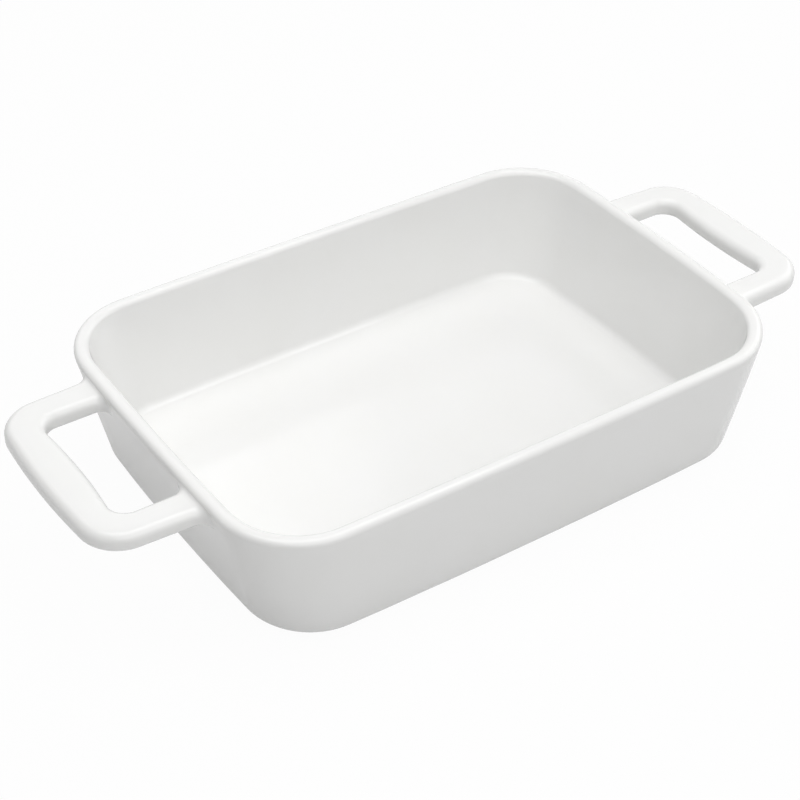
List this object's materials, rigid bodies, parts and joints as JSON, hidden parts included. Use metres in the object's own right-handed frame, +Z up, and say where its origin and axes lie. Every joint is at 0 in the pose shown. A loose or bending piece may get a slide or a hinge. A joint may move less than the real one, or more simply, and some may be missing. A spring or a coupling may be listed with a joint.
{
  "type": "lasagna dish",
  "caption": "Deep rectangular glazed stoneware baking dish with slanted walls, a rounded lip and a flat looped handle at each end.",
  "frame": {"origin": "middle of the dish on the plane that it stands on", "axes": "+X along the dish to the right handle, +Y across it to the far side, +Z up"},
  "size_m": [0.4388, 0.224, 0.0735],
  "materials": {
    "white_glaze": "glossy white glaze",
    "bare_stoneware": "matt, unglazed"
  },
  "bodies": {
    "root": {"basin": "white_glaze", "left_handle": "white_glaze", "right_handle": "white_glaze", "foot_ring": "bare_stoneware"}
  },
  "joints": []
}
